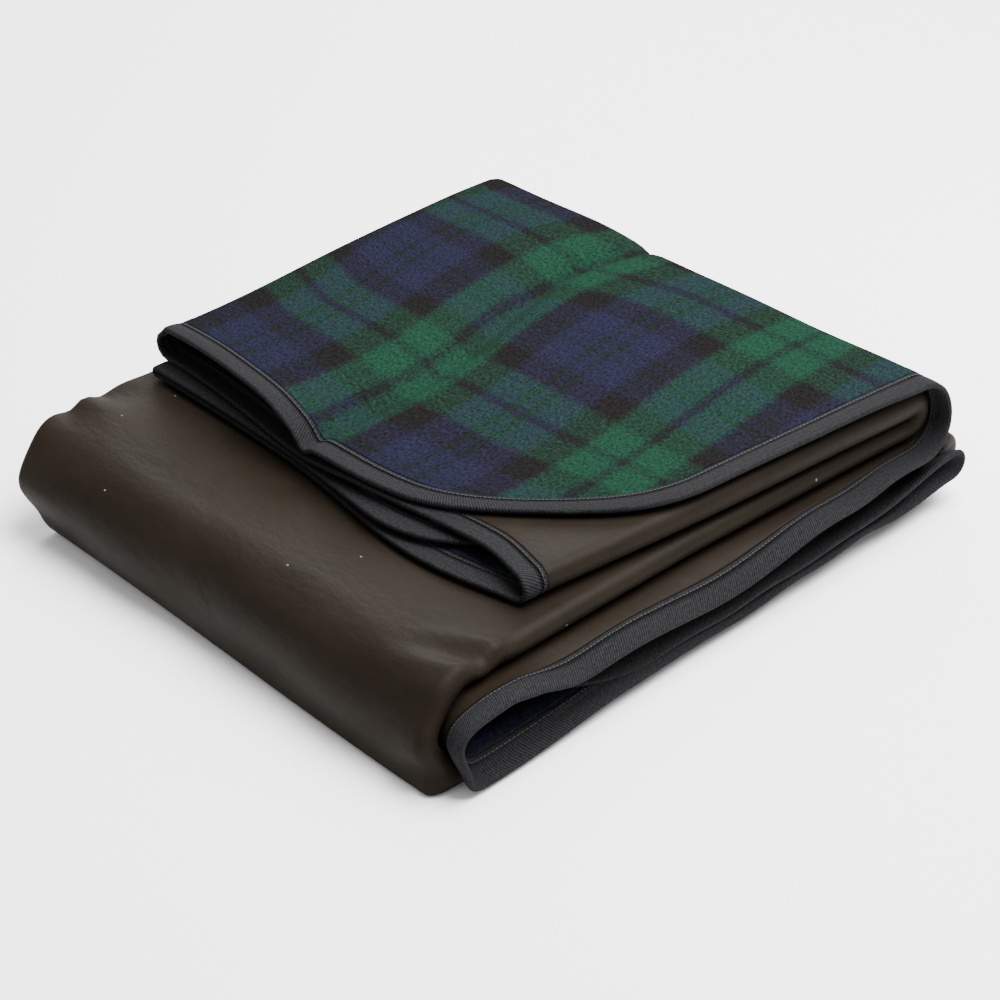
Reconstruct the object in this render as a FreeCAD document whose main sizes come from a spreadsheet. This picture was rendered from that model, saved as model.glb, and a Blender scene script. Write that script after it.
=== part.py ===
import FreeCAD, Part
import math
import os
import Sketcher

# A camp blanket, folded for storage, in millimetres.  Two plies, a waxed-cotton shell and a wool
# lining, are bound together round the rim with a folded tape.  The blanket is folded twice:
#
#   across X  into layers.  Layer 3 is the lowest, with its shell down.  At -X it turns in over
#             itself as layer 4, which ends short of +X: the tucked rim.  At +X it turns over both
#             as layer 2, shell outside.  At -X layer 2 turns back as layer 1, lining outside,
#             which ends at +X on top of the strip: the open rim.
#   along Y   that strip is laid in four tiers.  From the head rim: top tier, back fold, upper
#             tier, front roll, bottom tier, lower back fold, inner tier, foot rim.
#
# The origin is the middle of the face that the blanket rests on.  X is across the strip, Z is up.

SIZES = {
    "width": 432.0,            # X, folds at -X to open rim at +X
    "depth": 500.0,            # Y, front roll to lower back fold
    "rim_overhang": 12.0,      # open rim, past the fold below it
    "upper_set_in": 22.0,      # upper back fold, in from the lower one
    "tuck_depth": 385.0,       # layer 4, from its fold to its rim
    "shell_thick": 0.7,        # waxed cotton
    "lining_thick": 2.6,       # brushed wool
    "ply_gap": 0.2,            # between shell and lining
    "layer_gap": 3.7,          # air between two layers
    "tier_gap": 2.7,           # air between two tiers
    "head_set_back": 120.0,    # head rim behind the front roll
    "foot_set_back": 34.0,     # foot rim behind the front roll, inside it
    "corner_radius": 140.0,    # the blanket's four rounded corners
    "tape_width": 18.0,        # binding, rim to inner edge
    "tape_thick": 0.6,
    "tape_ease": 0.1,          # between the binding, its seam and the plies it holds
    "jog": 2.0,                # over which a ply thins as it goes under the binding
    "seam_inset": 2.0,         # stitch row, in from the tape's inner edge
    "thread_wide": 0.6,
    "thread_deep": 0.3,
}

doc = FreeCAD.newDocument("camp_blanket")
sheet = doc.addObject("Spreadsheet::Sheet", "Sizes")
for row, (name, number) in enumerate(SIZES.items(), start=1):
    sheet.set(f"A{row}", name)
    sheet.set(f"B{row}", str(number))
    sheet.setAlias(f"B{row}", name)
doc.recompute()


class Size:
    """A length, as a number and as the expression that gives it from the spreadsheet."""

    def __init__(self, value, text):
        self.value = value
        self.text = text

    def __add__(self, other):
        return Size(self.value + other.value, f"{self.text} + {other.text}")

    def __sub__(self, other):
        return Size(self.value - other.value, f"{self.text} - ({other.text})")

    def __mul__(self, factor):
        return Size(self.value * factor, f"({self.text}) * {factor}")

    def __neg__(self):
        return self * -1


def size(alias):
    return Size(float(sheet.get(alias)), f"<<Sizes>>.{alias}")


ZERO = Size(0.0, "0")
HALF_WIDTH = size("width") * 0.5
HALF_DEPTH = size("depth") * 0.5
TAPE = size("tape_thick")
EASE = size("tape_ease")
TAPE_WIDTH = size("tape_width")
LAYER = size("shell_thick") + size("ply_gap") + size("lining_thick")
GAP = size("layer_gap")
TIER = LAYER * 4 + GAP * 3
PITCH = TIER + size("tier_gap")
CORNER = size("corner_radius")

# Pairs of offsets inside one layer, counted from the shell's outer face to the lining's.
SHELL = (ZERO, size("shell_thick"))
LINING = (size("shell_thick") + size("ply_gap"), LAYER)
BOUND_SHELL = (TAPE + EASE, TAPE + EASE + size("shell_thick"))
BOUND_LINING = (BOUND_SHELL[1] + size("ply_gap"), LAYER - TAPE - EASE)
SHELL_JOG = (SHELL[0], BOUND_SHELL[1])
WHOLE_LAYER = (ZERO, LAYER)
WITH_AIR = (-GAP * 0.5, LAYER + GAP * 0.5)
TAPE_LEGS = ((ZERO, TAPE), (LAYER - TAPE, LAYER))
SEAM_ROWS = ((ZERO, size("thread_deep")), (LAYER - size("thread_deep"), LAYER))
GROOVE = size("thread_deep") + EASE
SEAM_GROOVES = ((ZERO, GROOVE), (LAYER - GROOVE, LAYER))

# Distances in from a rim.
PLY_RIM = TAPE + EASE
BOUND_LENGTH = TAPE_WIDTH + size("jog")
SEAM_END = TAPE_WIDTH - size("seam_inset")
SEAM_START = SEAM_END - size("thread_wide")

# The side folds, in the section across the strip: height of each one's centre, which is also the
# radius of the shell's outer face in the two that have the shell outside.
CLOSE_FOLD = LAYER + GAP * 0.5                  # layers 3 and 4, at -X
OPEN_FOLD = (LAYER * 3 + GAP * 2) * 0.5         # layers 3 and 2, at +X, round layer 4
FOLDED_LEFT = CLOSE_FOLD - HALF_WIDTH
FOLDED_RIGHT = HALF_WIDTH - size("rim_overhang") - OPEN_FOLD

# The four tiers and their three turns, in the section along the strip.
TOP_BASE = PITCH * 3
UPPER_TOP = PITCH * 2 + TIER
INNER_TOP = PITCH + TIER
LOWER_TURN = HALF_DEPTH - TIER - size("tier_gap") * 0.5
UPPER_TURN = LOWER_TURN - size("upper_set_in")
FRONT_TURN = UPPER_TOP * 0.5 - HALF_DEPTH


def layer_4(offset):
    return CLOSE_FOLD * 2 - offset


def layer_3(offset):
    return offset


def layer_2(offset):
    return OPEN_FOLD * 2 - offset


def layer_1(offset):
    return OPEN_FOLD * 2 + GAP + offset


# The short rims: where each lies, the face that layer 3 turns to, whether layers climb or hang.
HEAD = ("head", size("head_set_back") - HALF_DEPTH, TOP_BASE, 1)
FOOT = ("foot", size("foot_set_back") - HALF_DEPTH, INNER_TOP, -1)
# The long rims: where each lies, its layer, whether offsets climb there.  Both layers lie to -X.
OPEN = ("open", HALF_WIDTH, layer_1, 1)
TUCKED = ("tucked", size("tuck_depth") - HALF_WIDTH, layer_4, -1)


def sketch_on(body, name, role, offset=ZERO):
    """An empty sketch on one of the body's own planes, moved along that plane's normal."""
    plane = next(plane for plane in body.Origin.OriginFeatures if plane.Role == role)
    sketch = body.newObject("Sketcher::SketchObject", name)
    sketch.AttachmentSupport = (plane, "")
    sketch.MapMode = "FlatFace"
    sketch.setExpression("AttachmentOffset.Base.z", offset.text)
    return sketch


def pin(sketch, element, vertex, axis, place):
    """Ties one coordinate of a sketch point to a size."""
    constraint = Sketcher.Constraint(f"Distance{axis}", -1, 1, element, vertex, place.value)
    number = sketch.addConstraint(constraint)
    sketch.setExpression(f"Constraints[{number}]", place.text)


def draw(sketch, points, closed=True):
    """Draws an outline.  Each point is (x, y) or (x, y, bulge): with a bulge, the step that ends
    there is a half circle between two points of equal x, standing out to +x (1) or -x (-1)."""
    following = points[1:] + points[:1] if closed else points[1:]
    for start, end in zip(points, following):
        first = FreeCAD.Vector(start[0].value, start[1].value, 0)
        last = FreeCAD.Vector(end[0].value, end[1].value, 0)
        curved = len(end) == 3
        if curved:
            reach = FreeCAD.Vector(end[2] * (last - first).Length / 2, 0, 0)
            element = sketch.addGeometry(Part.Arc(first, (first + last) * 0.5 + reach, last), False)
            pin(sketch, element, 3, "X", start[0])
        else:
            element = sketch.addGeometry(Part.LineSegment(first, last), False)
        # An arc is stored anticlockwise, so its own first end may be the later of the two.
        backwards = sketch.getPoint(element, 1).distanceToPoint(first) > 1e-6
        vertices = (2, 1) if backwards else (1, 2)
        for vertex, corner in zip(vertices, (start, end)):
            pin(sketch, element, vertex, "X", corner[0])
            pin(sketch, element, vertex, "Y", corner[1])


def lifted(points, face, climb):
    """An outline of the strip's section, stood on a face, layers climbing (1) or hanging (-1)."""
    return [(point[0], face + point[1] * climb) + point[2:] for point in points]


def folded_ribbon(offsets, rim, bound=None):
    """Outline of all that lies between two offsets of the folded strip, out to a distance from
    both long rims.  With bound, it narrows to those two offsets under the side bindings."""

    def end(layer, rim_place, offset, held):
        """From the rim inwards."""
        if bound is None:
            return [(rim_place - rim, layer(offset))]
        return [
            (rim_place - rim, layer(held)),
            (rim_place - TAPE_WIDTH, layer(held)),
            (rim_place - BOUND_LENGTH, layer(offset)),
        ]

    def side(offset, held):
        return end(layer_4, TUCKED[1], offset, held) + [
            (FOLDED_LEFT, layer_4(offset)),
            (FOLDED_LEFT, layer_3(offset), -1),
            (FOLDED_RIGHT, layer_3(offset)),
            (FOLDED_RIGHT, layer_2(offset), 1),
            (FOLDED_LEFT, layer_2(offset)),
            (FOLDED_LEFT, layer_1(offset), -1),
        ] + end(layer_1, OPEN[1], offset, held)[::-1]

    def turned(points):
        """The same points in the other order, each half circle kept on its own step."""
        bulges = [point[2:] for point in points[1:]] + [()]
        return [point[:2] + bulge for point, bulge in zip(points, bulges)][::-1]

    near_held, far_held = bound or offsets
    return side(offsets[0], near_held) + turned(side(offsets[1], far_held))


def side_tape(long_rim):
    """Outline of the binding at one long rim: a U round the plies, with a groove for each row."""
    _, place, layer, _ = long_rim
    inner, row_near, row_far = place - TAPE_WIDTH, place - SEAM_END, place - SEAM_START
    wall = place - TAPE
    return [(x, layer(offset)) for x, offset in (
        (inner, ZERO),
        (row_near, ZERO),
        (row_near, GROOVE),
        (row_far, GROOVE),
        (row_far, ZERO),
        (place, ZERO),
        (place, LAYER),
        (row_far, LAYER),
        (row_far, LAYER - GROOVE),
        (row_near, LAYER - GROOVE),
        (row_near, LAYER),
        (inner, LAYER),
        (inner, LAYER - TAPE),
        (wall, LAYER - TAPE),
        (wall, TAPE),
        (inner, TAPE),
    )]


def side_row(long_rim, offsets):
    """Outline of one row of thread beside a long rim."""
    _, place, layer, _ = long_rim
    near, far = place - SEAM_END, place - SEAM_START
    low, high = layer(offsets[0]), layer(offsets[1])
    return [(near, low), (far, low), (far, high), (near, high)]


def new_body(name):
    body = doc.addObject("PartDesign::Body", name)
    body.Label = name
    body.AllowCompound = True
    return body


def sweep(body, name, outline, inset):
    """Carries an outline along the strip, from one short rim to the other less an inset."""
    start, end = HEAD[1] + inset, FOOT[1] + inset
    section = sketch_on(body, f"{name}_section", "XZ_Plane", -start)
    draw(section, lifted(outline, TOP_BASE, 1))
    path = sketch_on(body, f"{name}_path", "YZ_Plane")
    draw(path, [
        (start, TOP_BASE),
        (UPPER_TURN, TOP_BASE),
        (UPPER_TURN, UPPER_TOP, 1),
        (FRONT_TURN, UPPER_TOP),
        (FRONT_TURN, ZERO, -1),
        (LOWER_TURN, ZERO),
        (LOWER_TURN, INNER_TOP, 1),
        (end, INNER_TOP),
    ], closed=False)
    pipe = body.newObject("PartDesign::AdditivePipe", name)
    pipe.Profile = section
    pipe.Spine = path


def slab(body, name, outline, short_rim, near, far, kind="Pad"):
    """Adds (Pad) or cuts (Pocket) an outline between two distances in from a short rim."""
    rim_name, place, face, climb = short_rim
    sketch = sketch_on(body, f"{rim_name}_{name}_section", "XZ_Plane", -(place + near))
    draw(sketch, lifted(outline, face, climb))
    feature = body.newObject(f"PartDesign::{kind}", f"{rim_name}_{name}")
    feature.Profile = sketch
    feature.Reversed = kind == "Pad"            # the plane's normal is -Y, the strip lies to +Y
    feature.setExpression("Length", (far - near).text)


def quarter_arc(sketch, x, y, radius):
    """A quarter circle about (x, y), from straight below it to level with it at +x."""
    centre = FreeCAD.Vector(x.value, y.value, 0)
    circle = Part.Circle(centre, FreeCAD.Vector(0, 0, 1), radius.value)
    arc = sketch.addGeometry(Part.ArcOfCircle(circle, 1.5 * math.pi, 2 * math.pi), False)
    pin(sketch, arc, 3, "X", x)
    pin(sketch, arc, 3, "Y", y)
    pin(sketch, arc, 1, "X", x)
    pin(sketch, arc, 1, "Y", y - radius)
    pin(sketch, arc, 2, "Y", y)


def corner_sketch(body, name, short_rim, long_rim, offset):
    """An empty level sketch in one corner of the blanket, at an offset inside its layer, with the
    centre of the rounding there, and whether offsets climb."""
    rim_y, face, climb = short_rim[1:]
    rim_x, layer, rises = long_rim[1:]
    sketch = sketch_on(body, f"{name}_section", "XY_Plane", face + layer(offset) * climb)
    return sketch, rim_x - CORNER, rim_y + CORNER, climb * rises == 1


def corner_feature(body, name, sketch, offsets, climbs, kind):
    feature = body.newObject(f"PartDesign::{kind}", name)
    feature.Profile = sketch
    feature.Reversed = climbs == (kind == "Pocket")     # a pocket goes against the normal
    feature.setExpression("Length", (offsets[1] - offsets[0]).text)


def cut_corner(body, short_rim, long_rim):
    """Takes away what a rounded corner replaces: all outside the arc where the binding starts."""
    name = f"{short_rim[0]}_{long_rim[0]}_cut"
    sketch, x, y, climbs = corner_sketch(body, name, short_rim, long_rim, WITH_AIR[0])
    radius = CORNER - BOUND_LENGTH
    quarter_arc(sketch, x, y, radius)
    draw(sketch, [
        (x + radius, y),
        (x + CORNER, y),
        (x + CORNER, y - CORNER),
        (x, y - CORNER),
        (x, y - radius),
    ], closed=False)
    corner_feature(body, name, sketch, WITH_AIR, climbs, "Pocket")


def corner_ring(body, label, short_rim, long_rim, near, far, offsets, kind="Pad"):
    """Adds or cuts a quarter ring between two distances in from the rounded rim."""
    name = f"{short_rim[0]}_{long_rim[0]}_{label}"
    sketch, x, y, climbs = corner_sketch(body, name, short_rim, long_rim, offsets[0])
    outer, inner = CORNER - near, CORNER - far
    quarter_arc(sketch, x, y, outer)
    quarter_arc(sketch, x, y, inner)
    draw(sketch, [(x, y - outer), (x, y - inner)], closed=False)
    draw(sketch, [(x + outer, y), (x + inner, y)], closed=False)
    corner_feature(body, name, sketch, offsets, climbs, kind)


def corners():
    return [(short_rim, long_rim) for short_rim in (HEAD, FOOT) for long_rim in (OPEN, TUCKED)]


def make_shell():
    body = new_body("waxed_shell")
    sweep(body, "ply", folded_ribbon(SHELL, PLY_RIM, BOUND_SHELL), BOUND_LENGTH)
    for rim in (HEAD, FOOT):
        slab(body, "jog", folded_ribbon(SHELL_JOG, PLY_RIM), rim, TAPE_WIDTH, BOUND_LENGTH)
        slab(body, "bound", folded_ribbon(BOUND_SHELL, PLY_RIM), rim, PLY_RIM, TAPE_WIDTH)
    for place in corners():
        cut_corner(body, *place)
        corner_ring(body, "jog", *place, TAPE_WIDTH, BOUND_LENGTH, SHELL_JOG)
        corner_ring(body, "bound", *place, PLY_RIM, TAPE_WIDTH, BOUND_SHELL)
    return body


def make_lining():
    body = new_body("wool_lining")
    sweep(body, "ply", folded_ribbon(LINING, PLY_RIM, BOUND_LINING), BOUND_LENGTH)
    for rim in (HEAD, FOOT):
        slab(body, "bound", folded_ribbon(BOUND_LINING, PLY_RIM), rim, PLY_RIM, BOUND_LENGTH)
    for place in corners():
        cut_corner(body, *place)
        corner_ring(body, "bound", *place, PLY_RIM, BOUND_LENGTH, BOUND_LINING)
    return body


def make_binding():
    body = new_body("binding_tape")
    for rim in (OPEN, TUCKED):
        sweep(body, f"{rim[0]}_side", side_tape(rim), CORNER)
    for rim in (HEAD, FOOT):
        slab(body, "edge", folded_ribbon(WHOLE_LAYER, ZERO), rim, ZERO, TAPE)
        for number, offsets in enumerate(TAPE_LEGS):
            slab(body, f"leg_{number}", folded_ribbon(offsets, ZERO), rim, TAPE, TAPE_WIDTH)
        for number, offsets in enumerate(SEAM_GROOVES):
            slab(body, f"groove_{number}", folded_ribbon(offsets, ZERO),
                 rim, SEAM_START, SEAM_END, "Pocket")
    for place in corners():
        cut_corner(body, *place)
        corner_ring(body, "edge", *place, ZERO, TAPE, WHOLE_LAYER)
        for number, offsets in enumerate(TAPE_LEGS):
            corner_ring(body, f"leg_{number}", *place, ZERO, TAPE_WIDTH, offsets)
        for number, offsets in enumerate(SEAM_GROOVES):
            corner_ring(body, f"groove_{number}", *place, SEAM_START, SEAM_END, offsets, "Pocket")
    return body


def make_thread():
    """One row of stitches on each face of the binding, all round."""
    body = new_body("binding_thread")
    for number, offsets in enumerate(SEAM_ROWS):
        for rim in (OPEN, TUCKED):
            sweep(body, f"{rim[0]}_row_{number}", side_row(rim, offsets), CORNER)
        for rim in (HEAD, FOOT):
            slab(body, f"row_{number}", folded_ribbon(offsets, ZERO), rim, SEAM_START, SEAM_END)
    for place in corners():
        cut_corner(body, *place)
        for number, offsets in enumerate(SEAM_ROWS):
            corner_ring(body, f"row_{number}", *place, SEAM_START, SEAM_END, offsets)
    return body


bodies = [make_shell(), make_lining(), make_binding(), make_thread()]
doc.recompute()

failed = [item.Name for item in doc.Objects if {"Invalid", "Error"} & set(item.State)]
if failed:
    raise RuntimeError(f"objects that did not compute: {', '.join(failed)}")

os.makedirs("parts", exist_ok=True)
for body in bodies:
    if body.Shape.isNull() or not body.Shape.isValid():
        raise RuntimeError(f"{body.Label} has no valid shape")
    box = body.Shape.optimalBoundingBox()
    print(f"{body.Label}: {len(body.Shape.Solids)} solid(s), {body.Shape.Volume / 1000:.1f} cm3, "
          f"X {box.XMin:.1f} to {box.XMax:.1f}, Y {box.YMin:.1f} to {box.YMax:.1f}, "
          f"Z {box.ZMin:.1f} to {box.ZMax:.1f}")
    body.Shape.exportStep(f"parts/{body.Label}.step")
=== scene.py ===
import math

import bpy
import numpy as np
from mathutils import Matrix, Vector


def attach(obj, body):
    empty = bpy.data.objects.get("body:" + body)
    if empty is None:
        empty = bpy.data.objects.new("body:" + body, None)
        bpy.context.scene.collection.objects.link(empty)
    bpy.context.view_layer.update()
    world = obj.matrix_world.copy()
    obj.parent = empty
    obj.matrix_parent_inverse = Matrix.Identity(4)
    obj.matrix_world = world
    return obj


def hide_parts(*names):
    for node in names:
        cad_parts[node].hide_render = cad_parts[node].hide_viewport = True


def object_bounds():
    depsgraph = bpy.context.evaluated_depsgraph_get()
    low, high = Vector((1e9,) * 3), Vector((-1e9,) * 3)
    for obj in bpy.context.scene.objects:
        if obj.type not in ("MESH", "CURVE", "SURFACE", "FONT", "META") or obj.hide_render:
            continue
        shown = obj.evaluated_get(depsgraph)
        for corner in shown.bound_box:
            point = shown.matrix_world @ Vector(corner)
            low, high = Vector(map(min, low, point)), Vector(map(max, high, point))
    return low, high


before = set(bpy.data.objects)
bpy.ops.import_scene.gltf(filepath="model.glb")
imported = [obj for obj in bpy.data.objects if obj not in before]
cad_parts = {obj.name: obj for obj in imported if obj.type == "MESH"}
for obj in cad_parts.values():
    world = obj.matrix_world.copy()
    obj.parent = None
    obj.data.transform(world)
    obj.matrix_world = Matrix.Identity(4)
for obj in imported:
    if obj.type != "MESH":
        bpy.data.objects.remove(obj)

# A folded camp blanket: waxed-cotton shell, checked wool lining, binding tape and its stitches.
# Every piece is laid out on the flat blanket, in millimetres, and carried through the folds by
# one map, cloth(across, along), so that plies, tape and thread bend together.
#
# Across the strip the layers are numbered as in the CAD: 4 (tucked rim), 3 (lowest), 2 and 1 (open
# rim, on top).  Along the strip: top tier, back fold, upper tier, front roll, bottom tier, lower
# back fold, inner tier.

MM = 0.001
CAD_LOW, CAD_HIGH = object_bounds()

# ---------------------------------------------------------------- sizes of the CAD, in mm
HALF_WIDTH = CAD_HIGH[0] / MM
HALF_DEPTH = CAD_HIGH[1] / MM
HEIGHT = CAD_HIGH[2] / MM
TIER_GAP = 2.7
TIER = (HEIGHT - 3 * TIER_GAP) / 4
PITCH = TIER + TIER_GAP
SHELL_THICK = 0.7
PLY_GAP = 0.2                     # between shell and lining
LAYER = 3.5                       # shell, lining and the gap between them
GAP = (TIER - 4 * LAYER) / 3
HEAD = -HALF_DEPTH + 120.0        # the head rim, behind the front roll
FOOT = -HALF_DEPTH + 34.0         # the foot rim, inside the roll
TUCK_RIM = -HALF_WIDTH + 385.0    # the tucked long rim, layer 4
CORNER = 140.0                    # rounding of the blanket's corners
TAPE_WIDTH = 18.0
TAPE_THICK = 0.6
SEAM = TAPE_WIDTH - 2.3           # the row of stitches, in from the rim
STITCH_PITCH = 3.2

# ---------------------------------------------------------------- the folds, in flat lengths
CLOSE = (LAYER + GAP) / 2                   # mean radius of the two folds at -X
OPEN = LAYER + GAP                          # mean radius of the fold at +X, round layer 4
LEFT = -HALF_WIDTH + CLOSE + LAYER / 2      # centres of those folds
RIGHT = HALF_WIDTH - 12.0 - OPEN - LAYER / 2
ACROSS_PARTS = [
    TUCK_RIM - LEFT,              # layer 4
    math.pi * CLOSE,
    RIGHT - LEFT,                 # layer 3
    math.pi * OPEN,
    RIGHT - LEFT,                 # layer 2
    math.pi * CLOSE,
    HALF_WIDTH - LEFT,            # layer 1
]
ACROSS = np.concatenate([[0.0], np.cumsum(ACROSS_PARTS)])
LAYER_4, FOLD_43, LAYER_3, FOLD_32, LAYER_2, FOLD_21, LAYER_1 = range(7)

LOWER_TURN = HALF_DEPTH - TIER - TIER_GAP / 2
UPPER_TURN = LOWER_TURN - 22.0
ROLL = (2 * PITCH + TIER) / 2
FRONT_TURN = -HALF_DEPTH + ROLL
ALONG_PARTS = [
    UPPER_TURN - HEAD,            # top tier
    math.pi * TIER,               # back fold
    UPPER_TURN - FRONT_TURN,      # upper tier
    math.pi * ROLL,               # front roll
    LOWER_TURN - FRONT_TURN,      # bottom tier
    math.pi * TIER,               # lower back fold
    LOWER_TURN - FOOT,            # inner tier
]
ALONG = np.concatenate([[0.0], np.cumsum(ALONG_PARTS)])
FLAT_WIDTH = ACROSS[-1]
FLAT_LENGTH = ALONG[-1]

# The check: its repeat, from the middle of one pair of green stripes to the next, and where the
# middle of one such pair falls.
REPEAT = 192.0
GREEN_ACROSS = -83.0              # counted across the flat cloth, 0 near the top layer's middle
GREEN_ALONG = 119.75              # in from the head rim


def smooth(value, low, high):
    """0 below low, 1 above high, and a smooth step between."""
    f = np.clip((value - low) / (high - low), 0.0, 1.0)
    return f * f * (3 - 2 * f)


def bump(value, centre, reach):
    """A smooth hill, 1 at its centre."""
    return np.exp(-(((value - centre) / reach) ** 2))


def pieces_of(value, knots):
    """Which part of the flat blanket a place is in, and how far through that part it is."""
    part = np.clip(np.searchsorted(knots, value, side="right") - 1, 0, len(knots) - 2)
    start = knots[part]
    return part, (value - start) / (knots[part + 1] - start)


# ---------------------------------------------------------------- how the cloth really lies
# Sizes that change along the strip, at both ends and the middle of each tier.  The cloth is not
# folded square: rims and folds wander, and what overhangs the folds hangs down.
STATIONS = [
    ALONG[0], (ALONG[0] + ALONG[1]) / 2, ALONG[1],      # top tier
    ALONG[2], (ALONG[2] + ALONG[3]) / 2, ALONG[3],      # upper tier
    (ALONG[3] + ALONG[4]) / 2,                          # front roll
    ALONG[4], (ALONG[4] + ALONG[5]) / 2, ALONG[5],      # bottom tier
    ALONG[6], (ALONG[6] + ALONG[7]) / 2, ALONG[7],      # inner tier
]
TABLE_STEP = 2.0
TABLE = np.arange(-60.0, FLAT_LENGTH + 60.0, TABLE_STEP)
SOFTENER = bump(np.arange(-24, 25) * TABLE_STEP, 0.0, 22.0)
SOFTENER = SOFTENER / SOFTENER.sum()


def along_strip(*values):
    """A size given at the stations, as a smooth function of the place along the strip."""
    rough = np.interp(TABLE, STATIONS, values)
    padded = np.pad(rough, len(SOFTENER) // 2, mode="edge")
    eased = np.convolve(padded, SOFTENER, mode="valid")
    return lambda along: np.interp(along, TABLE, eased)


#                         top tier        upper tier       roll  bottom tier      inner tier
open_rim = along_strip(174, 189, 208, 216, 223, 223, 222, 224, 218, 213, 213, 216, 216)
hang_from = along_strip(184, 186, 198, 200, 192, 196, 202, 196, 190, 192, 192, 190, 188)
hang_angle = along_strip(5, 8, 10, 0, 50, 22, 10, 30, 46, 6, 0, 34, 45)
right_fold = along_strip(173, 190, 203, 198, 190, 194, 201, 211, 191, 198, 207, 188, 186)
left_fold = along_strip(-214, -219, -223, -222, -221, -216, -207, -189, -200, -212, -212, -208, -205)
ripple = along_strip(0, 0.4, 1, 1, 2, 1.6, 1, 0.7, 0.8, 0.6, 0.6, 0.7, 0.6)
HANG_BEND = 25.0                  # cloth over which an overhanging rim bends down
LEAST_HANG = 0.5                  # degrees, so that the bend has a radius
SQUEEZE_4 = 3.1                   # how much lower layer 4 lies in the top tier's left half
SQUEEZE_2 = 6.1                   # and layer 2


def top_tier(along):
    """1 in the top tier, 0 beyond the back fold."""
    return 1 - smooth(along, ALONG[1] - 60, ALONG[2])


def crease_place(along):
    """X of the valley where the open layer comes down to rest on the one below."""
    return -38 - 37 * smooth(along, 90, 290) + 17 * smooth(along, 270, 360)


def second_green(along):
    """X of the middle of the second pair of green stripes on the top layer."""
    return 131 - 19 * smooth(along, 60, 300)


def check_along(x, along):
    """Place along the strip as the check shows it: it is a little askew to the folds."""
    left = 1 - smooth(x, -90, 30)
    askew = 4 + 22 * smooth(along, 120, 300) * left
    return along + askew - 16 * (1 - smooth(x, -220, -150)) * (1 - smooth(along, 150, 260))


def turning(along):
    """1 in the front roll and the lower back fold, where the open rim stands out of the folds."""
    front = smooth(along, ALONG[3] - 80, ALONG[3]) * (1 - smooth(along, ALONG[4], ALONG[4] + 110))
    back = smooth(along, ALONG[5] - 90, ALONG[5]) * (1 - smooth(along, ALONG[6], ALONG[6] + 90))
    return front, back


def heights(x, along):
    """Middle of layers 4, 3, 2 and 1 above the strip's lowest face."""
    top = top_tier(along)
    front, back = turning(along)
    away = x - crease_place(along)
    at_head = 1 - smooth(along, 0, 130)
    third = np.full_like(x, LAYER * 0.5)
    fourth = LAYER * 1.5 + GAP - SQUEEZE_4 * top * (1 - smooth(away, -10, 90))
    second = LAYER * 2.5 + 2 * GAP - SQUEEZE_2 * top * (1 - smooth(away, -15, 60))
    arch = 4.0 * (1 - smooth(away, -70, 25)) + 0.8 - 2.6 * at_head * smooth(away, -50, 30)
    valley = (1.2 + 1.6 * at_head) * bump(away, 0, 22) + 5.2 * bump(away, 0, 8)
    first = LAYER * 3.5 + 3 * GAP + top * (arch - valley)
    first = first - (11 * front + 10 * back) * smooth(x, 196, 218)
    return fourth, third, second, first


def section(across, along):
    """The strip's section: X and height of the middle of the cloth, its part, how far through that
    part it is, and its place across the flat blanket counted in true lengths."""
    part, f = pieces_of(across, ACROSS)
    edge, fold = left_fold(along), right_fold(along)
    fourth, third, second, first = heights(edge + 12, along)
    close_43 = (fourth - third) / 2
    close_21 = (first - second) / 2
    wide_32 = OPEN - 0.4 * top_tier(along)
    left_43 = edge + close_43 + LAYER / 2 + 8 * (1 - smooth(along, 0, 150))
    left_21 = edge + close_21 + LAYER / 2
    right = fold - wide_32 - LAYER / 2
    rim = open_rim(along)
    # Starts of the parts in true lengths, counted so that the check falls where it should: the
    # crease runs along one pair of green stripes, and the next pair lies to its right.
    crease, green = crease_place(along), second_green(along)
    at_crease = GREEN_ACROSS + 13 * (1 - smooth(along, 170, 290)) - crease
    at_green = GREEN_ACROSS + REPEAT - green
    begin_21 = left_21 + at_crease - math.pi * close_21
    begin_2 = begin_21 - (right - left_21)
    begin_32 = begin_2 - math.pi * wide_32
    begin_3 = begin_32 - (right - left_43)
    begin_43 = begin_3 - math.pi * close_43
    begin_4 = begin_43 - (TUCK_RIM - left_43)
    x = np.zeros_like(across)
    h = np.zeros_like(across)
    true_place = np.zeros_like(across)

    def flat(index, x_start, x_end, which, begin):
        here = part == index
        run = (x_end - x_start)[here] * f[here]
        x[here] = x_start[here] + run
        h[here] = heights(x[here], along[here])[which]
        true_place[here] = begin[here] + np.abs(run)

    def turn(index, x_centre, radius, low, high, side, begin):
        """From height low to height high, standing out to side."""
        here = part == index
        angle = math.pi * f[here]
        start = heights(x_centre[here], along[here])
        middle = (start[low] + start[high]) / 2
        swing = (start[high] - start[low]) / 2
        x[here] = x_centre[here] + side * radius[here] * np.sin(angle)
        h[here] = middle - swing * np.cos(angle)
        true_place[here] = begin[here] + radius[here] * angle

    tuck = np.full_like(edge, TUCK_RIM)
    flat(LAYER_4, tuck, left_43, 0, begin_4)
    turn(FOLD_43, left_43, close_43, 0, 1, -1, begin_43)
    flat(LAYER_3, left_43, right, 1, begin_3)
    turn(FOLD_32, right, np.full_like(edge, OPEN), 1, 2, 1, begin_32)
    flat(LAYER_2, right, left_21, 2, begin_2)
    turn(FOLD_21, left_21, close_21, 2, 3, -1, begin_21)
    flat(LAYER_1, left_21, rim, 3, left_21 + at_crease)
    beyond = np.clip((x - crease) / (green - crease), 0, 1.4) * (part == LAYER_1)
    true_place = true_place + beyond * (at_green - at_crease)
    return x, h, part, f, true_place


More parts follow.
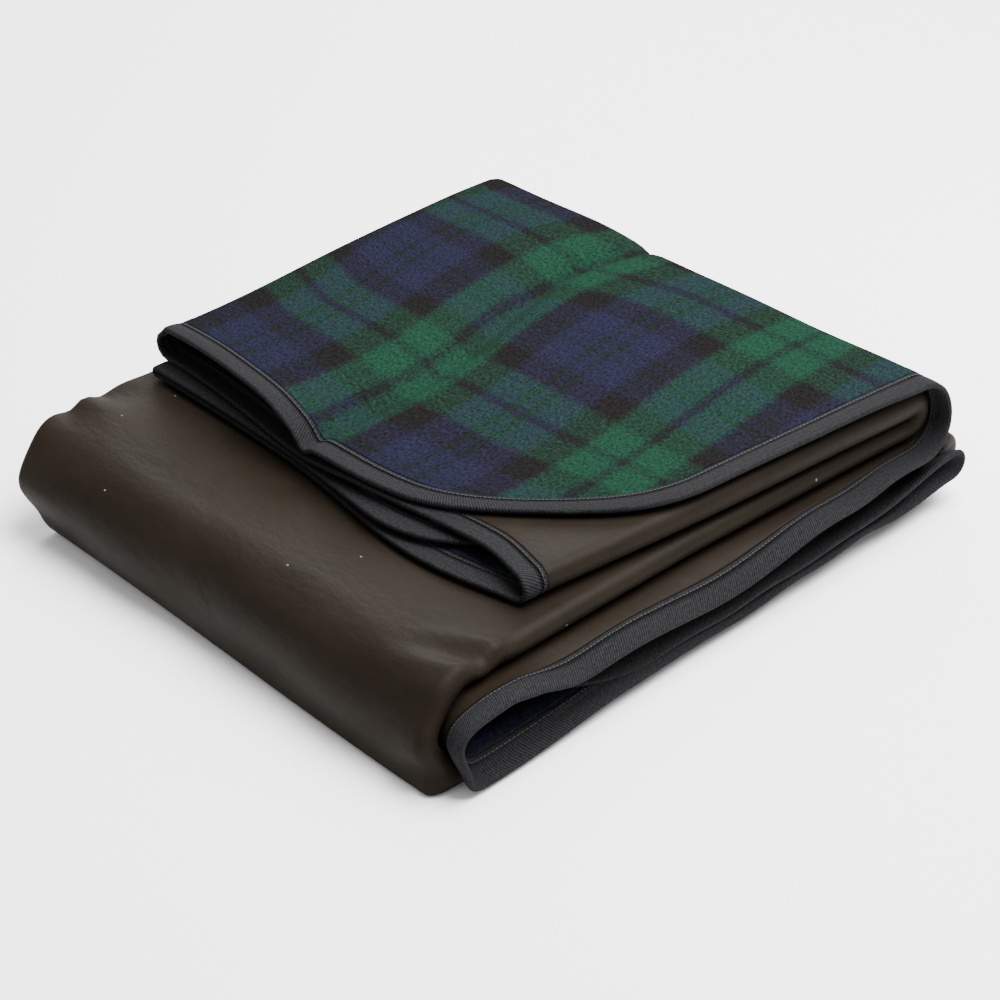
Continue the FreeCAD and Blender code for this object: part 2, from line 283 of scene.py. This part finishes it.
def stacked(along, h):
    """Where the strip lies: Y and Z of a point at height h in it."""
    part, f = pieces_of(along, ALONG)
    run = f * np.array(ALONG_PARTS)[part]
    angle = math.pi * f
    y = np.zeros_like(along)
    z = np.zeros_like(along)
    runs = [
        # part, start y, direction, z
        (0, HEAD, 1, 3 * PITCH + h),
        (2, UPPER_TURN, -1, 2 * PITCH + TIER - h),
        (4, FRONT_TURN, 1, h),
        (6, LOWER_TURN, -1, PITCH + TIER - h),
    ]
    turns = [
        # part, centre y, centre z, radius, start angle, way round
        (1, UPPER_TURN, 3 * PITCH - TIER_GAP / 2, h + TIER_GAP / 2, math.pi / 2, -1),
        (3, FRONT_TURN, ROLL, ROLL - h, math.pi / 2, 1),
        (5, LOWER_TURN, TIER + TIER_GAP / 2, TIER + TIER_GAP / 2 - h, -math.pi / 2, 1),
    ]
    for index, start, way, level in runs:
        here = part == index
        y[here] = start + way * run[here]
        z[here] = level[here]
    for index, y_centre, z_centre, radius, start, way in turns:
        here = part == index
        y[here] = y_centre + radius[here] * np.cos(start + way * angle[here])
        z[here] = z_centre + radius[here] * np.sin(start + way * angle[here])
    return y, z


def bowed_head(x, along, part, f):
    """How far forward of square the head rim lies."""
    lower = np.where(part <= LAYER_3, 1.0, np.where(part == FOLD_32, 1 - f, 0.0))
    lower_bow = 5 + 22 * bump(x, 80, 95)
    upper_bow = 12 * bump(x, 0, 85) - 6 * (1 - smooth(x, -200, -60))
    second_bow = 14 * smooth(x, 120, 190)
    upper_bow = upper_bow + np.where(part == LAYER_1, -18 * bump(x, 150, 60), second_bow)
    bow = lower * lower_bow + (1 - lower) * upper_bow
    return bow * (1 - smooth(along, 0, 170))


def settled(x, y, z):
    """The stack under its own weight: the lower tiers flatter, the top one fuller at the left."""
    left = 1 - smooth(x, -230, -60)
    behind = smooth(y, -100, 170)
    low = 0.862 + 0.06 * left + 0.05 * smooth(y, -40, 200) - 0.012 * smooth(x, 60, 200)
    full = 1.2 - 0.17 * left - 0.2 * smooth(x, -160, 200) + 0.2 * behind
    knee = 3.0
    above = knee * np.logaddexp(0.0, (z - 3 * PITCH + TIER_GAP / 2) / knee)
    level = low * z + (full - low) * above
    reach = 20 + 18 * smooth(x, -200, 200)
    toe = reach * np.exp(-z / 11.5) * smooth(-y, 130, -FRONT_TURN)
    return y - toe, level


def rumpled(x, y, z):
    """Soft waves in the cloth, and puckers where the roll's ends are pinched."""
    roll_top = smooth(z, 50, 72) * smooth(-y, 120, 165)
    ridge = y + 176 - 0.45 * (x - 200)
    pinch = 5.2 * bump(ridge, 0, 7) - 4.2 * bump(ridge, -15, 8) + 2.6 * bump(ridge, -31, 8)
    pinch = pinch * smooth(x, 125, 198)
    left_swirl = np.arctan2(y + 190, x + 232)
    left_pucker = 2.4 * bump(np.hypot(x + 232, y + 190), 26, 30) * np.sin(5 * left_swirl + 1.0)
    waves = 1.0 * np.sin(x / 29 + 1.2 * np.sin(y / 24)) * np.sin(y / 31 + x / 95)
    lift = roll_top * (pinch + left_pucker + waves)
    top = smooth(z, 86, 102)
    swell = 0.9 * np.sin(x / 47 + 0.8) * np.sin(y / 58 + 0.3) + 0.5 * np.sin(x / 21 - y / 33)
    lift = lift + top * swell
    front = smooth(-y, 225, 246)
    push = front * (1.4 * np.sin(x / 38 + z / 21) + 0.6 * np.sin(x / 17 - z / 13)) * smooth(z, 4, 24)
    gather = smooth(x, 150, 205) * smooth(-y, 190, 235)
    push = push + 3.4 * gather * np.sin(z / 7.5 - x / 16) * smooth(z, 6, 20)
    knuckle = bump(z, 40, 10) - 0.5 * bump(z, 62, 9) - 0.5 * bump(z, 18, 8)
    push = push - 3.6 * knuckle * (1 - smooth(x, -225, -110)) * smooth(-y, 195, 240)
    return y + push, z + lift


def hung(x, z, along, part):
    """Bends the overhanging part of the open rim down."""
    start = hang_from(along)
    angle = np.radians(np.maximum(hang_angle(along), LEAST_HANG))
    over = np.maximum(x - start, 0.0) * (part == LAYER_1)
    turned = angle * np.minimum(over / HANG_BEND, 1.0)
    straight = np.maximum(over - HANG_BEND, 0.0)
    out = HANG_BEND / angle * np.sin(turned) + straight * np.cos(angle)
    down = HANG_BEND / angle * (1 - np.cos(turned)) + straight * np.sin(angle)
    wave = ripple(along) * np.sin(along / 17 + 2 * np.sin(along / 67)) * smooth(x, 186, 212)
    return x - over + out, z - down + wave * (part == LAYER_1)


def lie(across, along):
    """The middle of the folded cloth in mm, and its place across the flat cloth."""
    shape = np.shape(across)
    across, along = np.ravel(across).astype(float), np.ravel(along).astype(float)
    x, h, part, f, true_place = section(across, along)
    y, z = stacked(along, h)
    y = y - bowed_head(x, along, part, f)
    back_turn = smooth(along, ALONG[5] - 60, ALONG[5]) * (1 - smooth(along, ALONG[6], ALONG[6] + 60))
    y = y + 12 * back_turn * smooth(x, 190, 212)
    y, z = settled(x, y, z)
    z = z + 7 * back_turn * smooth(x, 150, 212)
    y, z = rumpled(x, y, z)
    lifted = (part == LAYER_1) * (1 - smooth(along, 0, 34)) * (1 - smooth(x, -90, -40))
    z = z + 4 * lifted
    x, z = hung(x, z, along, part)
    return np.stack([x, y, z], -1).reshape(*shape, 3), true_place.reshape(shape)


def cloth(across, along):
    return lie(across, along)[0]


def faces_out(across, along):
    """The cloth's unit normal, from the shell towards the lining."""
    step = 0.4
    a = cloth(across + step, along) - cloth(across - step, along)
    b = cloth(across, along + step) - cloth(across, along - step)
    normal = np.cross(a, b)
    return normal / np.maximum(np.linalg.norm(normal, axis=-1, keepdims=True), 1e-9)


def placed(across, along, offset):
    """A point of the cloth at an offset from the shell's outer face, in mm."""
    offset = np.asarray(offset, float)[..., None]
    return cloth(across, along) + faces_out(across, along) * (offset - LAYER / 2)


# ---------------------------------------------------------------- the flat blanket's outline
def flat_place(u, v):
    """Takes a rectangle's points to the blanket with its rounded corners."""
    across, along = np.array(u, float), np.array(v, float)
    for end_a, way_a in ((0.0, 1), (FLAT_WIDTH, -1)):
        for end_b, way_b in ((0.0, 1), (FLAT_LENGTH, -1)):
            a = 1 - (u - end_a) * way_a / CORNER
            b = 1 - (v - end_b) * way_b / CORNER
            here = (a > 0) & (b > 0)
            round_a = a * np.sqrt(np.maximum(1 - b * b / 2, 0))
            round_b = b * np.sqrt(np.maximum(1 - a * a / 2, 0))
            across[here] = (end_a + way_a * CORNER * (1 - round_a))[here]
            along[here] = (end_b + way_b * CORNER * (1 - round_b))[here]
    return across, along


def rim_distance(across, along):
    """How far in from the rim a place on the flat blanket is."""
    a = np.minimum(across, FLAT_WIDTH - across)
    b = np.minimum(along, FLAT_LENGTH - along)
    in_corner = (a < CORNER) & (b < CORNER)
    return np.where(in_corner, CORNER - np.hypot(CORNER - a, CORNER - b), np.minimum(a, b))


def rim_path(step):
    """Places round the rim, with the way inwards at each and the distance gone."""
    sides = [
        # start, way along the side, way inwards, length, centre of the corner that follows
        ((CORNER, 0.0), (1, 0), (0, 1), FLAT_WIDTH - 2 * CORNER),
        ((FLAT_WIDTH, CORNER), (0, 1), (-1, 0), FLAT_LENGTH - 2 * CORNER),
        ((FLAT_WIDTH - CORNER, FLAT_LENGTH), (-1, 0), (0, -1), FLAT_WIDTH - 2 * CORNER),
        ((0.0, FLAT_LENGTH - CORNER), (0, -1), (1, 0), FLAT_LENGTH - 2 * CORNER),
    ]
    places, inward, gone = [], [], []
    total = 0.0
    for start, way, inside, length in sides:
        start, way, inside = np.array(start), np.array(way, float), np.array(inside, float)
        count = round(length / step)
        run = np.arange(count)[:, None] * (length / count)
        places.append(start + way * run)
        inward.append(np.repeat(inside[None], count, 0))
        gone.append(total + run[:, 0])
        total += length
        centre = start + way * length + inside * CORNER
        arc = CORNER * math.pi / 2
        count = round(arc / step)
        angle = np.arange(count)[:, None] * (math.pi / 2 / count)
        outward = -inside * np.cos(angle) + way * np.sin(angle)
        places.append(centre + outward * CORNER)
        inward.append(-outward)
        gone.append(total + angle[:, 0] * CORNER)
        total += arc
    return np.concatenate(places), np.concatenate(inward), np.concatenate(gone)


# ---------------------------------------------------------------- building the pieces
FLAT_STEP = 5.0                   # between the lines of a ply's grid, where the cloth is flat
SIDE_FOLD_STEP = 1.4              # and in the folds across the strip
END_FOLD_STEP = 2.5               # and along it
THINNED = 0.7                     # how far each face of the plies gives way to the tape
TAPE_STEP = 2.0                   # between the tape's rings


def lines_between(knots, parts, flat_step, fold_step):
    """Places along one side of the flat blanket, closer in the folds and beside the rims."""
    lines = []
    for number, length in enumerate(parts):
        step = flat_step if number % 2 == 0 else fold_step
        count = max(2, round(length / step))
        lines.append(np.linspace(knots[number], knots[number + 1], count, endpoint=False))
    lines = np.concatenate(lines + [[knots[-1]]])
    beside = np.array([0.0, 2.5, 6.0, 12.0, 17.0, TAPE_WIDTH - 1, TAPE_WIDTH + 1, 27.0])
    inside = lines[(lines > beside[-1] + 2) & (lines < knots[-1] - beside[-1] - 2)]
    return np.concatenate([beside, inside, knots[-1] - beside[::-1]])


def new_object(name, points, faces, uv):
    mesh = bpy.data.meshes.new(name)
    mesh.from_pydata((points * MM).tolist(), [], faces.tolist())
    mesh.update()
    layer = mesh.uv_layers.new(name="flat")
    corners = np.zeros(len(mesh.loops), int)
    mesh.loops.foreach_get("vertex_index", corners)
    layer.data.foreach_set("uv", (uv[corners] * MM).ravel().astype(np.float32))
    mesh.polygons.foreach_set("use_smooth", [True] * len(mesh.polygons))
    piece = bpy.data.objects.new(name, mesh)
    bpy.context.collection.objects.link(piece)
    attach(piece, "root")
    return piece


def grid_faces(rows, columns, first=0, flip=False):
    a = first + np.arange(rows - 1)[:, None] * columns + np.arange(columns - 1)[None, :]
    quads = np.stack([a, a + 1, a + columns + 1, a + columns], -1).reshape(-1, 4)
    return quads[:, ::-1] if flip else quads


def ply(name, near, far):
    """A closed sheet between two offsets, each a function of the distance from the rim."""
    u = lines_between(ACROSS, ACROSS_PARTS, FLAT_STEP, SIDE_FOLD_STEP)
    v = lines_between(ALONG, ALONG_PARTS, FLAT_STEP, END_FOLD_STEP)
    inset = TAPE_THICK + 0.1
    u = inset + u * (1 - 2 * inset / FLAT_WIDTH)
    v = inset + v * (1 - 2 * inset / FLAT_LENGTH)
    along_grid, across_grid = np.meshgrid(v, u, indexing="ij")
    across, along = flat_place(across_grid, along_grid)
    distance = rim_distance(across, along)
    rows, columns = across.shape
    middle, true_place = lie(across, along)
    normal = faces_out(across, along)
    low = middle + normal * (near(distance) - LAYER / 2)[..., None]
    high = middle + normal * (far(distance) - LAYER / 2)[..., None]
    count = rows * columns
    index = np.arange(count).reshape(rows, columns)
    rim = np.concatenate([index[0, :], index[1:, -1], index[-1, -2::-1], index[-2:0:-1, 0]])
    after = np.roll(rim, -1)
    faces = np.concatenate([
        grid_faces(rows, columns, 0, flip=False),
        grid_faces(rows, columns, count, flip=True),
        np.stack([rim, rim + count, after + count, after], -1),
    ])
    uv = np.stack([true_place, check_along(middle[..., 0], along)], -1).reshape(-1, 2)
    points = np.concatenate([low.reshape(-1, 3), high.reshape(-1, 3)])
    return new_object(name, points, faces, np.concatenate([uv, uv]))


def under_tape(distance):
    return 1 - smooth(distance, TAPE_WIDTH - 2, TAPE_WIDTH + 2)


def shell_near(distance):
    return THINNED * under_tape(distance)


def shell_far(distance):
    return SHELL_THICK + THINNED * under_tape(distance)


def lining_near(distance):
    return SHELL_THICK + PLY_GAP + THINNED * under_tape(distance)


def lining_far(distance):
    """The nap swells a little beside the tape, where it isn't held down."""
    return LAYER - THINNED * under_tape(distance) + 0.5 * bump(distance, TAPE_WIDTH + 6, 4)


def tape_profile():
    """The tape's section: distance in from the rim and offset from the shell's face, a closed U."""
    half = LAYER / 2
    down = np.array([TAPE_WIDTH, TAPE_WIDTH - 0.5, SEAM + 0.8, SEAM, SEAM - 0.8, 15, 11, 7, 4, 2])
    swell = 0.35 * bump(down, 7, 6) - 0.22 * bump(down, SEAM, 0.9)
    near = -swell
    turn = np.linspace(-math.pi / 2, math.pi / 2, 9)[1:-1]
    near[0] = TAPE_THICK * 0.4
    far = LAYER - near[::-1]
    outer_d = np.concatenate([down, half - half * np.cos(turn), down[::-1]])
    outer_o = np.concatenate([near, half + (half + 0.25) * np.sin(turn), far])
    inner_d = np.array([TAPE_WIDTH, SEAM, 11, 4, 1.0, TAPE_THICK, 1.0, 4, 11, SEAM, TAPE_WIDTH])
    leg = TAPE_THICK
    inner_o = np.array([leg, leg, leg, leg, leg + 0.1, half, LAYER - leg - 0.1,
                        LAYER - leg, LAYER - leg, LAYER - leg, LAYER - leg])
    return np.concatenate([outer_d, inner_d[::-1]]), np.concatenate([outer_o, inner_o[::-1]])


def ring_faces(rings, around, closed):
    """Faces of a tube of rings; closed when the last ring meets the first."""
    a = np.arange(rings if closed else rings - 1)[:, None]
    k = np.arange(around)[None, :]
    b = (a + 1) % rings
    k_next = (k + 1) % around
    quads = [a * around + k, a * around + k_next, b * around + k_next, b * around + k]
    return np.stack(quads, -1).reshape(-1, 4)


def make_tape():
    places, inward, gone = rim_path(TAPE_STEP)
    depth, offset = tape_profile()
    flat = places[:, None, :] + inward[:, None, :] * depth[None, :, None]
    points = placed(flat[..., 0], flat[..., 1], np.broadcast_to(offset, flat.shape[:2]))
    uv = np.stack(np.broadcast_arrays(gone[:, None], depth[None, :]), -1).reshape(-1, 2)
    faces = ring_faces(len(places), len(depth), closed=True)
    return new_object("binding", points.reshape(-1, 3), faces, uv)


def make_stitches():
    """Single stitches, one row on each face of the tape."""
    per_stitch = 8
    places, inward, gone = rim_path(STITCH_PITCH / per_stitch)
    picks = np.arange(0, len(places) - per_stitch, per_stitch)
    rings, around = 5, 6
    half_long = 0.42                  # of a stitch's pitch
    reach = np.linspace(-half_long, half_long, rings)
    tall = np.array([0.25, 0.9, 1.0, 0.9, 0.25])
    angle = np.arange(around) * (2 * math.pi / around)
    all_points, all_uv = [], []
    for base, out in ((0.12, -1), (LAYER - 0.12, 1)):
        along_stitch = per_stitch // 2 + np.round(reach * per_stitch)
        slot_places = (picks[:, None] + along_stitch).astype(int)
        spots = places[slot_places]
        ways = inward[slot_places]
        depth = SEAM + 0.3 * np.cos(angle)[None, None, :] * tall[None, :, None]
        lift = base + out * (0.26 * np.sin(angle)[None, None, :] * tall[None, :, None]
                             + 0.1 * (tall[None, :, None] - 0.6))
        flat = spots[:, :, None, :] + ways[:, :, None, :] * depth[..., None]
        shape = flat.shape[:3]
        all_points.append(placed(flat[..., 0], flat[..., 1], np.broadcast_to(lift, shape)))
        run = np.broadcast_to(gone[slot_places][:, :, None], shape)
        all_uv.append(np.stack([run, np.broadcast_to(depth, shape)], -1))
    points = np.concatenate(all_points).reshape(-1, 3)
    uv = np.concatenate(all_uv).reshape(-1, 2)
    each = ring_faces(rings, around, closed=False)
    count = len(points) // (rings * around)
    starts = np.arange(count)[:, None, None] * (rings * around)
    faces = (each[None] + starts).reshape(-1, 4)
    return new_object("stitches", points, faces, uv)


shell = ply("shell_cloth", shell_near, shell_far)
lining = ply("lining_cloth", lining_near, lining_far)
binding = make_tape()
stitches = make_stitches()
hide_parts("waxed_shell")
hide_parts("wool_lining")
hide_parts("binding_tape")
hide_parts("binding_thread")


# ---------------------------------------------------------------- materials
class Nodes:
    """Short names for the nodes of one material."""

    def __init__(self, name):
        self.material = bpy.data.materials.new(name)
        self.material.use_nodes = True
        self.tree = self.material.node_tree
        self.shader = self.tree.nodes["Principled BSDF"]

    def add(self, kind, inputs=(), **settings):
        node = self.tree.nodes.new(kind)
        for key, value in settings.items():
            setattr(node, key, value)
        for key, value in dict(inputs).items():
            self.put(node.inputs[key], value)
        return node

    def put(self, socket, value):
        if isinstance(value, bpy.types.NodeSocket):
            self.tree.links.new(value, socket)
        else:
            socket.default_value = value

    def math(self, operation, *values, clamp=False):
        node = self.add("ShaderNodeMath", operation=operation, use_clamp=clamp)
        for socket, value in zip(node.inputs, values):
            self.put(socket, value)
        return node.outputs[0]

    def noise(self, place, scale, detail=2.0, roughness=0.5):
        inputs = {"Vector": place, "Scale": scale, "Detail": detail, "Roughness": roughness}
        return self.add("ShaderNodeTexNoise", inputs).outputs["Fac"]

    def stretched(self, place, scale):
        inputs = {"Vector": place, "Scale": scale}
        return self.add("ShaderNodeMapping", inputs, vector_type="POINT").outputs[0]

    def ramp(self, value, stops):
        node = self.add("ShaderNodeValToRGB", {"Fac": value})
        elements = node.color_ramp.elements
        elements.remove(elements[1])
        elements[0].position = stops[0][0]
        elements[0].color = stops[0][1]
        for position, colour in stops[1:]:
            elements.new(position).color = colour
        return node.outputs["Color"]

    def mix(self, factor, first, second, blend="MIX"):
        node = self.add("ShaderNodeMix", data_type="RGBA", blend_type=blend)
        self.put(node.inputs["Factor"], factor)
        self.put(node.inputs[6], first)
        self.put(node.inputs[7], second)
        return node.outputs[2]

    def bump(self, height, strength, distance):
        inputs = {"Height": height, "Strength": strength, "Distance": distance}
        self.put(self.shader.inputs["Normal"], self.add("ShaderNodeBump", inputs).outputs[0])

    def flat_place(self):
        return self.add("ShaderNodeUVMap", uv_map="flat").outputs[0]


def srgb(red, green, blue):
    """A colour given as 0 to 255 in sRGB."""
    def linear(value):
        value = value / 255
        return value / 12.92 if value <= 0.04045 else ((value + 0.055) / 1.055) ** 2.4
    return linear(red), linear(green), linear(blue), 1.0


def waxed_cotton():
    nodes = Nodes("waxed_cotton")
    place = nodes.flat_place()
    cloud = nodes.noise(place, 11.0, 6.0, 0.65)
    mottle = nodes.ramp(cloud, [(0.3, srgb(17, 13, 9)), (0.7, srgb(25, 20, 14))])
    fine = nodes.noise(place, 700.0, 3.0, 0.7)
    grain = nodes.math("MULTIPLY", nodes.math("SUBTRACT", fine, 0.5), 0.7)
    colour = nodes.mix(nodes.math("ADD", grain, 0.12, clamp=True), mottle, srgb(38, 31, 22))
    cells = nodes.add("ShaderNodeTexVoronoi", {"Vector": place, "Scale": 75.0, "Randomness": 1.0})
    chosen = nodes.math("GREATER_THAN", nodes.add(
        "ShaderNodeSeparateColor", {"Color": cells.outputs["Color"]}).outputs[0], 0.82)
    speck = nodes.math("LESS_THAN", cells.outputs["Distance"], 0.055)
    lint = nodes.math("MULTIPLY", nodes.math("MULTIPLY", chosen, speck), 0.45)
    nodes.put(nodes.shader.inputs["Base Color"], nodes.mix(lint, colour, srgb(150, 146, 138)))
    rough = nodes.math("ADD", nodes.math("MULTIPLY", cloud, 0.16), 0.46)
    nodes.put(nodes.shader.inputs["Roughness"], rough)
    nodes.shader.inputs["Specular IOR Level"].default_value = 0.05
    soft = nodes.noise(nodes.stretched(place, (1.0, 1.7, 1.0)), 22.0, 5.0, 0.55)
    nodes.bump(nodes.math("MULTIPLY_ADD", fine, 0.03, soft), 0.55, 0.003)
    return nodes.material


GREEN, BLACK, NAVY = srgb(20, 43, 32), srgb(20, 19, 19), srgb(24, 24, 37)
FAINT = srgb(20, 24, 24)          # a narrow dark stripe, half hidden by the nap
SETT = [(3, FAINT), (30, GREEN), (26, BLACK), (28, NAVY), (5, FAINT), (9, NAVY), (5, FAINT),
        (27, NAVY), (26, BLACK), (30, GREEN), (3, FAINT)]
SOFT_EDGE = 6.5                   # over which brushed stripes run into each other


def tartan_wool():
    nodes = Nodes("tartan_wool")
    place = nodes.flat_place()
    split = nodes.add("ShaderNodeSeparateXYZ", {"Vector": place})
    wander = nodes.math("SUBTRACT", nodes.noise(place, 170.0, 4.0, 0.7), 0.5)
    stops, gone = [], 0.0
    for number, (width, colour) in enumerate(SETT):
        soft = min(SOFT_EDGE, 0.8 * width) / 2
        start = gone + (soft if number else 0.0)
        end = gone + width - (soft if number < len(SETT) - 1 else 0.0)
        stops += [(start / REPEAT, colour), (end / REPEAT, colour)]
        gone += width
    threads = []
    for coordinate, phase in ((split.outputs[0], GREEN_ACROSS), (split.outputs[1], GREEN_ALONG)):
        turns = nodes.math("MULTIPLY_ADD", coordinate, 1000 / REPEAT, 20 - phase / REPEAT)
        turns = nodes.math("MULTIPLY_ADD", wander, 9.0 / REPEAT, turns)
        threads.append(nodes.ramp(nodes.math("FRACT", turns), stops))
    diagonal = nodes.math("ADD", split.outputs[0], split.outputs[1])
    twill = nodes.math("SINE", nodes.math("MULTIPLY", diagonal, 2 * math.pi / 0.0022))
    fibres = nodes.noise(nodes.stretched(place, (1.0, 1.7, 1.0)), 260.0, 6.0, 0.8)
    share = nodes.math("MULTIPLY_ADD", nodes.math("SUBTRACT", fibres, 0.5), 3.8, 0.42)
    share = nodes.math("MULTIPLY_ADD", twill, 0.1, share, clamp=True)
    cloth_colour = nodes.mix(share, threads[0], threads[1])
    nap = nodes.noise(nodes.stretched(place, (1.8, 1.0, 1.0)), 300.0, 6.0, 0.8)
    light = nodes.ramp(nap, [(0.32, (0.25, 0.25, 0.25, 1)), (0.68, (1.75, 1.75, 1.75, 1))])
    colour = nodes.mix(1.0, cloth_colour, light, "MULTIPLY")
    strands = nodes.noise(nodes.stretched(place, (1.0, 5.0, 1.0)), 520.0, 1.0)
    hairs = nodes.math("GREATER_THAN", strands, 0.77)
    colour = nodes.mix(nodes.math("MULTIPLY", hairs, 0.35), colour, srgb(60, 75, 85))
    nodes.put(nodes.shader.inputs["Base Color"], colour)
    nodes.shader.inputs["Roughness"].default_value = 0.95
    nodes.shader.inputs["Specular IOR Level"].default_value = 0.0
    tufts = nodes.noise(place, 160.0, 5.0, 0.7)
    nodes.bump(nodes.math("ADD", tufts, nodes.math("MULTIPLY", nap, 0.5)), 0.6, 0.002)
    return nodes.material


def binding_twill():
    nodes = Nodes("binding_tape")
    place = nodes.flat_place()
    split = nodes.add("ShaderNodeSeparateXYZ", {"Vector": place})
    slant = nodes.math("MULTIPLY_ADD", split.outputs[1], 0.55, split.outputs[0])
    ribs = nodes.math("SINE", nodes.math("MULTIPLY", slant, 2 * math.pi / 0.0019))
    fluff = nodes.noise(place, 500.0, 3.0)
    # Painted shade: the ribs' crests lighter and their grooves darker in the tape's colour, over
    # random fluff tone.
    rib_shade_and_fluff = nodes.math("MULTIPLY_ADD", ribs, 0.24, fluff, clamp=True)
    colour = nodes.ramp(rib_shade_and_fluff, [(0.2, srgb(11, 11, 12)), (0.9, srgb(36, 36, 38))])
    nodes.put(nodes.shader.inputs["Base Color"], colour)
    nodes.shader.inputs["Roughness"].default_value = 0.8
    nodes.shader.inputs["Specular IOR Level"].default_value = 0.05
    nodes.bump(nodes.math("MULTIPLY_ADD", ribs, 0.25, fluff), 0.5, 0.0006)
    return nodes.material


def sewing_thread():
    nodes = Nodes("sewing_thread")
    nodes.shader.inputs["Base Color"].default_value = srgb(31, 31, 34)
    nodes.shader.inputs["Roughness"].default_value = 0.6
    return nodes.material


for piece, material, slot in (
    (shell, waxed_cotton(), "waxed_cotton"),
    (lining, tartan_wool(), "tartan_wool"),
    (binding, binding_twill(), "binding_tape"),
    (stitches, sewing_thread(), "sewing_thread"),
):
    piece.data.materials.append(material)

# ---------------------------------------------------------------- floor, light and camera
FLOOR = 4.0
floor_mesh = bpy.data.meshes.new("floor")
corners = [(-FLOOR, -FLOOR, 0), (FLOOR, -FLOOR, 0), (FLOOR, FLOOR, 0), (-FLOOR, FLOOR, 0)]
floor_mesh.from_pydata(corners, [], [(0, 1, 2, 3)])
floor = bpy.data.objects.new("floor", floor_mesh)
bpy.context.collection.objects.link(floor)
paper = Nodes("floor")
paper.shader.inputs["Base Color"].default_value = (0.92, 0.92, 0.92, 1)
paper.shader.inputs["Roughness"].default_value = 0.9
paper.shader.inputs["Specular IOR Level"].default_value = 0.1
floor_mesh.materials.append(paper.material)

world = bpy.data.worlds.new("studio")
bpy.context.scene.world = world
world.use_nodes = True
world.node_tree.nodes["Background"].inputs["Color"].default_value = (1, 1, 1, 1)
world.node_tree.nodes["Background"].inputs["Strength"].default_value = 0.85


def soft_box(name, place, target, size, power):
    light_data = bpy.data.lights.new(name, "AREA")
    light_data.shape = "SQUARE"
    light_data.size = size
    light_data.energy = power
    light = bpy.data.objects.new(name, light_data)
    light.location = place
    light.rotation_euler = (Vector(target) - Vector(place)).to_track_quat("-Z", "Y").to_euler()
    bpy.context.collection.objects.link(light)


soft_box("overhead", (0.5, 0.5, 1.9), (0.0, 0.0, 0.0), 1.6, 200.0)
soft_box("behind", (-1.3, 1.25, 1.1), (0.0, 0.0, 0.05), 1.2, 40.0)

AZIMUTH = math.radians(46.09)
ELEVATION = math.radians(31.887)
DISTANCE = 1.722
TARGET = Vector((0.038, -0.033, 0.04))
direction = Vector((
    math.sin(AZIMUTH) * math.cos(ELEVATION),
    -math.cos(AZIMUTH) * math.cos(ELEVATION),
    math.sin(ELEVATION),
))
camera_data = bpy.data.cameras.new("camera")
camera_data.lens = 92.5
camera = bpy.data.objects.new("camera", camera_data)
camera.location = TARGET + direction * DISTANCE
camera.rotation_euler = (-direction).to_track_quat("-Z", "Y").to_euler()
bpy.context.collection.objects.link(camera)
bpy.context.scene.camera = camera
